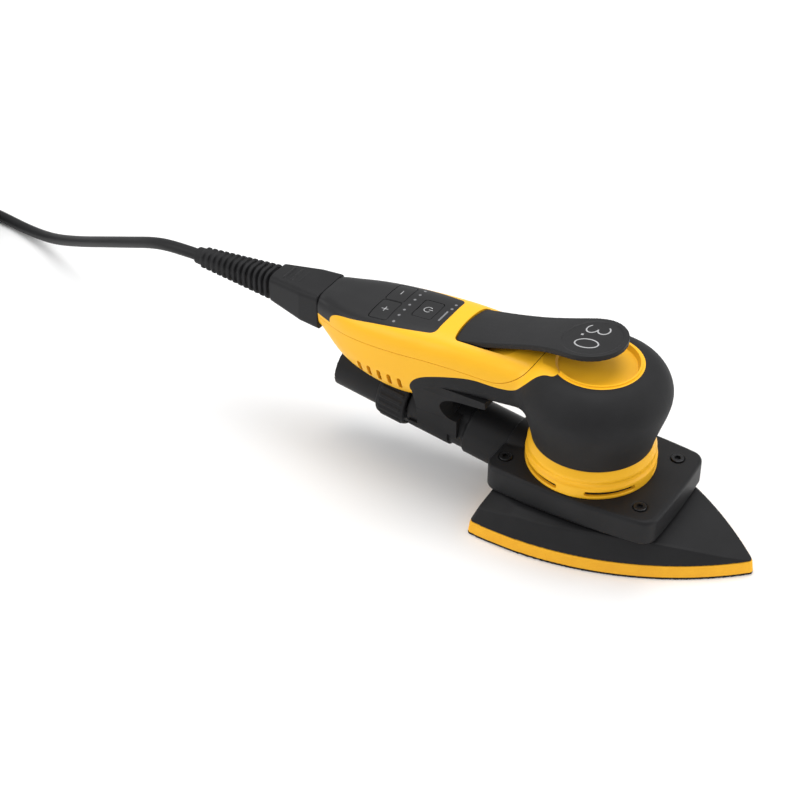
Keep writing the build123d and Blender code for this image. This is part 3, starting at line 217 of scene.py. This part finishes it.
def softened(node, voxel, rounds=4, keep=0.5, mat=None, roughen=None, name=None):
    """Stands for a CAD node with its moulded edges rounded off."""
    mesh = merged_copy(node)
    piece = link_piece(name or node + ".moulded", mesh, mat or FINISH[SLOT_OF[node]])
    remesh = piece.modifiers.new("voxels", "REMESH")
    remesh.mode = "VOXEL"
    remesh.voxel_size = voxel * MM
    smooth = piece.modifiers.new("round", "SMOOTH")
    smooth.factor = 0.5
    smooth.iterations = rounds
    if keep < 1:
        fewer = piece.modifiers.new("fewer", "DECIMATE")
        fewer.ratio = keep
    view_layer = bpy.context.view_layer
    view_layer.update()
    final = bpy.data.meshes.new_from_object(piece.evaluated_get(bpy.context.evaluated_depsgraph_get()))
    piece.modifiers.clear()
    piece.data = final
    final.materials.clear()
    final.materials.append(mat or FINISH[SLOT_OF[node]])
    if roughen:
        scale, height = roughen
        normals = [vertex.normal.copy() for vertex in final.vertices]
        for vertex, normal in zip(final.vertices, normals):
            push = noise.noise(vertex.co * scale) + 0.5 * noise.noise(vertex.co * scale * 2.3)
            vertex.co += normal * push * height * MM
            vertex.co.z = max(vertex.co.z, 0.0)
    shade_smooth(final)
    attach(piece, BODY_OF[node])
    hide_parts(node)
    return piece


SOFTENED = {
    "platen": (0.7, 4, 0.4),
    "shroud": (0.6, 4, 0.4),
    "vent_ring": (0.45, 3, 0.5),
    "dust_duct": (0.6, 3, 0.5),
    "hose_socket": (0.5, 3, 0.5),
    "locking_collar": (0.4, 3, 0.6),
    "lever": (0.3, 5, 0.6),
    "minus_button": (0.25, 3, 0.6),
    "plus_button": (0.25, 3, 0.6),
    "power_button": (0.25, 3, 0.6),
    "lead_connector": (0.4, 3, 0.5),
    "strain_relief": (0.35, 3, 0.5),
}
moulded = {node: softened(node, *settings) for node, settings in SOFTENED.items()}

# Shallow round recess under the orbit number, in millimetres
DISC_X, DISC_R, DISC_EDGE, DISC_DEPTH = -4.0, 16.2, 0.8, 0.5
lever_mesh = moulded["lever"].data
upward = [vertex.normal.z > 0.5 for vertex in lever_mesh.vertices]
for vertex, up in zip(lever_mesh.vertices, upward):
    inside = (DISC_R - math.hypot(vertex.co.x / MM - DISC_X, vertex.co.y / MM)) / DISC_EDGE
    share = min(max(inside, 0.0), 1.0)
    if up and share:
        vertex.co.z -= share * share * (3 - 2 * share) * DISC_DEPTH * MM

# The keys stand in a wider, darker groove than their running gap, in millimetres
KEY_INSET = 0.16
for key in ("minus_button", "plus_button", "power_button"):
    key_mesh = moulded[key].data
    outward = [Vector((vertex.normal.x, vertex.normal.y, 0.0)) for vertex in key_mesh.vertices]
    for vertex, push in zip(key_mesh.vertices, outward):
        vertex.co -= push * KEY_INSET * MM

softened("abrasive_sheet", 0.5, 1, 0.8, roughen=(2600.0, 0.28), name="abrasive_grit")
foam = softened("foam_layer", 0.6, 3, 0.6, name="foam_pad")
tie = softened("coil_tie", 0.5, 2, 0.7, STRAP, roughen=(1500.0, 0.1), name="hook_tape_tie")

# ------------------------------------------------------------------ lead
LEAD_ROUTE = [
    (-0.254, 0, 0.079), (-0.270, 0, 0.079), (-0.288, 0.003, 0.0745), (-0.312, 0.0105, 0.0625),
    (-0.342, 0.021, 0.047), (-0.378, 0.036, 0.027), (-0.412, 0.049, 0.0105), (-0.441, 0.0575, 0.0035),
    (-0.468, 0.0615, 0.0035), (-0.491, 0.0626, 0.0040), (-0.513, 0.0620, 0.0045),
]
TAIL_ROUTE = [
    (-0.5635, 0.015, 0.0255), (-0.5645, -0.003, 0.0246), (-0.5639, -0.021, 0.0218),
    (-0.5629, -0.038, 0.0190), (-0.5620, -0.051, 0.0180), (-0.5616, -0.062, 0.0180),
]
CORD_D = 0.007
COIL_X, COIL_Y = -0.514, 0.0125
TURN_RADII = [0.0495, 0.0425, 0.0355, 0.0285]
LAYER_Z = [0.0045, 0.0115, 0.0185, 0.0255]
POINTS_PER_TURN = 16
# Share of a turn in which the cord steps to the next radius
CROSS_OVER = 0.14
COIL_START = 90.0
COIL_TURNS = 15 + 85 / 360
# A quadratic spline runs this far inside the circle that its points stand on
spline_pull = 0.75 + 0.25 * math.cos(2 * math.pi / POINTS_PER_TURN)


def turn_place(turn):
    """Radius and height of the cord's middle in one turn of the coil."""
    layer, step = divmod(turn, len(TURN_RADII))
    radii = TURN_RADII if layer % 2 == 0 else TURN_RADII[::-1]
    return radii[step], LAYER_Z[layer]


coil_points = []
for index in range(1, int(COIL_TURNS * POINTS_PER_TURN) + 1):
    turns = index / POINTS_PER_TURN
    turn = int(turns)
    radius, height = turn_place(turn)
    if turn < 15 and turns - turn > 1 - CROSS_OVER:
        share = (turns - turn - 1 + CROSS_OVER) / CROSS_OVER
        next_radius, next_height = turn_place(turn + 1)
        radius += (next_radius - radius) * share
        height += (next_height - height) * share
    angle = math.radians(COIL_START) + 2 * math.pi * turns
    reach = radius / spline_pull
    coil_points.append((COIL_X + reach * math.cos(angle), COIL_Y + reach * math.sin(angle), height))

route = LEAD_ROUTE + coil_points + TAIL_ROUTE
curve = bpy.data.curves.new("mains_lead", "CURVE")
curve.dimensions = "3D"
curve.bevel_depth = CORD_D / 2
curve.bevel_resolution = 5
spline = curve.splines.new("NURBS")
spline.points.add(len(route) - 1)
for point, place in zip(spline.points, route):
    point.co = (*place, 1.0)
spline.order_u = 3
spline.use_endpoint_u = True
spline.resolution_u = 6
curve.materials.append(FINISH["cord_rubber"])
lead = bpy.data.objects.new("mains_lead", curve)
bpy.context.collection.objects.link(lead)
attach(lead, "housing")
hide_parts("lead_cord", "lead_tail", "lead_coil")


def lathe(name, profile, origin, axis, mat, segments=72, flutes=None):
    """Turned piece along an axis from (distance, radius) pairs in millimetres."""
    axis = Vector(axis).normalized()
    side = (axis.cross(Vector((0, 0, 1))) if abs(axis.z) < 0.9 else Vector((1, 0, 0))).normalized()
    up = side.cross(axis)
    work = bmesh.new()
    rings = []
    for distance, radius in profile:
        ring = []
        for segment in range(segments):
            angle = 2 * math.pi * segment / segments
            reach = radius
            if flutes and flutes[0] <= distance <= flutes[1]:
                reach -= flutes[3] * max(0.0, math.cos(flutes[2] * angle))
            offset = side * (reach * math.cos(angle)) + up * (reach * math.sin(angle))
            ring.append(work.verts.new(Vector(origin) + (axis * distance + offset) * MM))
        rings.append(ring)
    for first, second in zip(rings, rings[1:]):
        for segment in range(segments):
            after = (segment + 1) % segments
            work.faces.new((first[segment], first[after], second[after], second[segment]))
    work.faces.new(rings[0][::-1])
    work.faces.new(rings[-1])
    bmesh.ops.recalc_face_normals(work, faces=work.faces)
    mesh = bpy.data.meshes.new(name)
    work.to_mesh(mesh)
    work.free()
    shade_smooth(mesh)
    return link_piece(name, mesh, mat)


# Painted shade: a black cylinder just behind the vent ring's slots makes them read dark; it stands for
# shade, not for a part
slot_shade_liner = lathe("vent_slot_painted_shade", [(0, 33.0), (3.6, 33.0)], (0, 0, 0.0385), (0, 0, 1), FINISH["black_plastic"])
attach(slot_shade_liner, "housing")

plug_axis = Vector(TAIL_ROUTE[-1]) - Vector(TAIL_ROUTE[-2])
plug_profile = [(0, 3.7), (0.3, 4.6)]
for rib in range(7):
    start = 2.0 + 4.0 * rib
    size = 4.7 + 0.5 * rib
    plug_profile += [
        (start, size - 0.9), (start + 0.5, size), (start + 1.9, size + 0.1), (start + 2.4, size - 0.9),
    ]
plug_profile += [
    (30.0, 8.6), (31.5, 9.6), (36, 11.2), (41, 13.8), (44, 15.4), (46, 16.0), (47.5, 16.2), (50, 16.5),
    (53, 16.7), (56, 17.0), (57, 17.3), (59.2, 17.3), (59.8, 17.0), (60, 16.4), (60, 13.0), (59.4, 12.6),
    (59.4, 3.0),
]
plug = lathe("plug_shell", plug_profile, TAIL_ROUTE[-1], plug_axis, FINISH["black_rubber"], 96,
             flutes=(44.5, 56.5, 20, 0.5))
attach(plug, "housing")
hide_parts("plug_body")

# ------------------------------------------------------------------ printed marks
surfaces = {}


def surface_of(piece):
    """Search tree of a piece's faces, made once per piece."""
    if piece.name not in surfaces:
        mesh = piece.data
        surfaces[piece.name] = BVHTree.FromPolygons(
            [vertex.co.copy() for vertex in mesh.vertices], [list(face.vertices) for face in mesh.polygons])
    return surfaces[piece.name]


def strip(points, width, closed=False):
    """Flat outline of a pen stroke along points, as quads."""
    quads = []
    count = len(points)
    sides = []
    for index, point in enumerate(points):
        before = points[index - 1] if (index or closed) else point
        after = points[(index + 1) % count] if (index < count - 1 or closed) else point
        run = Vector(after) - Vector(before)
        normal = Vector((-run.y, run.x)).normalized() * width / 2
        sides.append((Vector(point) + normal, Vector(point) - normal))
    for index in range(count if closed else count - 1):
        first, second = sides[index], sides[(index + 1) % count]
        quads.append((first[0], first[1], second[1], second[0]))
    return quads


def marks(name, strokes, piece, body, mat=PRINT, lift=0.05, thick=0.04):
    """Strokes (quads in millimetres, seen from above) laid on a piece's top surface."""
    tree = surface_of(piece)
    work = bmesh.new()
    for quad in strokes:
        corners = []
        for corner in quad:
            hit = tree.ray_cast(Vector((corner.x * MM, corner.y * MM, 0.2)), Vector((0, 0, -1)))[0]
            corners.append(work.verts.new(hit + Vector((0, 0, lift * MM))))
        work.faces.new(corners)
    bmesh.ops.remove_doubles(work, verts=work.verts, dist=2e-6)
    bmesh.ops.recalc_face_normals(work, faces=work.faces)
    for face in work.faces:
        if face.normal.z < 0:
            face.normal_flip()
    mesh = bpy.data.meshes.new(name)
    work.to_mesh(mesh)
    work.free()
    made = link_piece(name, mesh, mat)
    shell = made.modifiers.new("ink", "SOLIDIFY")
    shell.thickness = thick * MM
    shell.offset = -1
    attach(made, body)
    return made


def arc(x, y, radius_x, radius_y, start, end, steps=28):
    """Points of an ellipse's arc round (x, y), between two angles in degrees."""
    turns = [math.radians(start + (end - start) * step / steps) for step in range(steps + 1)]
    return [(x + radius_x * math.cos(turn), y + radius_y * math.sin(turn)) for turn in turns]


# Digits read towards -Y, with their tops towards +X
DIGIT_X, STROKE = -4.6, 0.75
ZERO_Y, POINT_Y, THREE_Y = -6.0, 1.2, 7.8
POINT_WIDTH = 1.3
digits = strip(arc(DIGIT_X, ZERO_Y, 6.4, 3.9, 0, 360, 48)[:-1], STROKE, True)
digits += strip(arc(DIGIT_X + 3.2, THREE_Y, 3.2, 3.5, 60, -180, 20), STROKE)
digits += strip(arc(DIGIT_X - 3.2, THREE_Y, 3.2, 3.7, 0, -240, 20), STROKE)
digits += strip([(DIGIT_X - 6.6, POINT_Y), (DIGIT_X - 5.2, POINT_Y)], POINT_WIDTH)
marks("orbit_number", digits, moulded["lever"], "lever")

GLYPH = 0.42
SIGN_X, SIGN_Y = -122.7, 8.9
POWER_X = -101.0
BAR_X = -90.6
minus_sign = strip([(SIGN_X, SIGN_Y - 1.8), (SIGN_X, SIGN_Y + 1.8)], GLYPH)
plus_sign = strip([(SIGN_X, -SIGN_Y - 2), (SIGN_X, -SIGN_Y + 2)], GLYPH)
plus_sign += strip([(SIGN_X - 2, -SIGN_Y), (SIGN_X + 2, -SIGN_Y)], GLYPH)
power_sign = strip(arc(POWER_X, 0.0, 2.3, 2.3, 40, 320), GLYPH)
power_sign += strip([(POWER_X + 0.4, 0), (POWER_X + 2.9, 0)], GLYPH)
status_bar = strip([(BAR_X, -7.0), (BAR_X, -3.5), (BAR_X, 0), (BAR_X, 3.0)], 1.0)
marks("minus_mark", minus_sign, moulded["minus_button"], "minus_key")
marks("plus_mark", plus_sign, moulded["plus_button"], "plus_key")
marks("power_mark", power_sign, moulded["power_button"], "power_key")
marks("status_bar", status_bar, NODES["keypad_cover"], "housing", FINISH["light_lens"])

# ------------------------------------------------------------------ studio
floor_mesh = bpy.data.meshes.new("floor")
work = bmesh.new()
bmesh.ops.create_grid(work, x_segments=2, y_segments=2, size=6.0)
work.to_mesh(floor_mesh)
work.free()
floor = link_piece("floor", floor_mesh, FLOOR)
floor.location = (0, 0, -0.0002)

world = bpy.data.worlds.new("studio")
world.use_nodes = True
world.node_tree.nodes["Background"].inputs["Color"].default_value = (1, 1, 1, 1)
world.node_tree.nodes["Background"].inputs["Strength"].default_value = 0.62
bpy.context.scene.world = world
bpy.context.scene.view_settings.view_transform = "Standard"


def softbox(name, place, target, size, power):
    """Rectangular area light aimed at a point."""
    data = bpy.data.lights.new(name, "AREA")
    data.shape = "RECTANGLE"
    data.size, data.size_y = size
    data.energy = power
    lamp = bpy.data.objects.new(name, data)
    bpy.context.collection.objects.link(lamp)
    lamp.location = place
    aim = Vector(target) - Vector(place)
    lamp.rotation_mode = "QUATERNION"
    lamp.rotation_quaternion = aim.to_track_quat("-Z", "Y")
    return lamp


HANDLE_MIDDLE = (-0.05, 0, 0.05)
softbox("overhead", (-0.2, 0.3, 1.3), HANDLE_MIDDLE, (1.2, 0.9), 11)
softbox("key_left", (-1.1, -0.9, 0.9), HANDLE_MIDDLE, (0.8, 0.8), 6)
softbox("rim_right", (1.0, 0.5, 0.7), (0, 0, 0.05), (0.5, 0.9), 4.5)
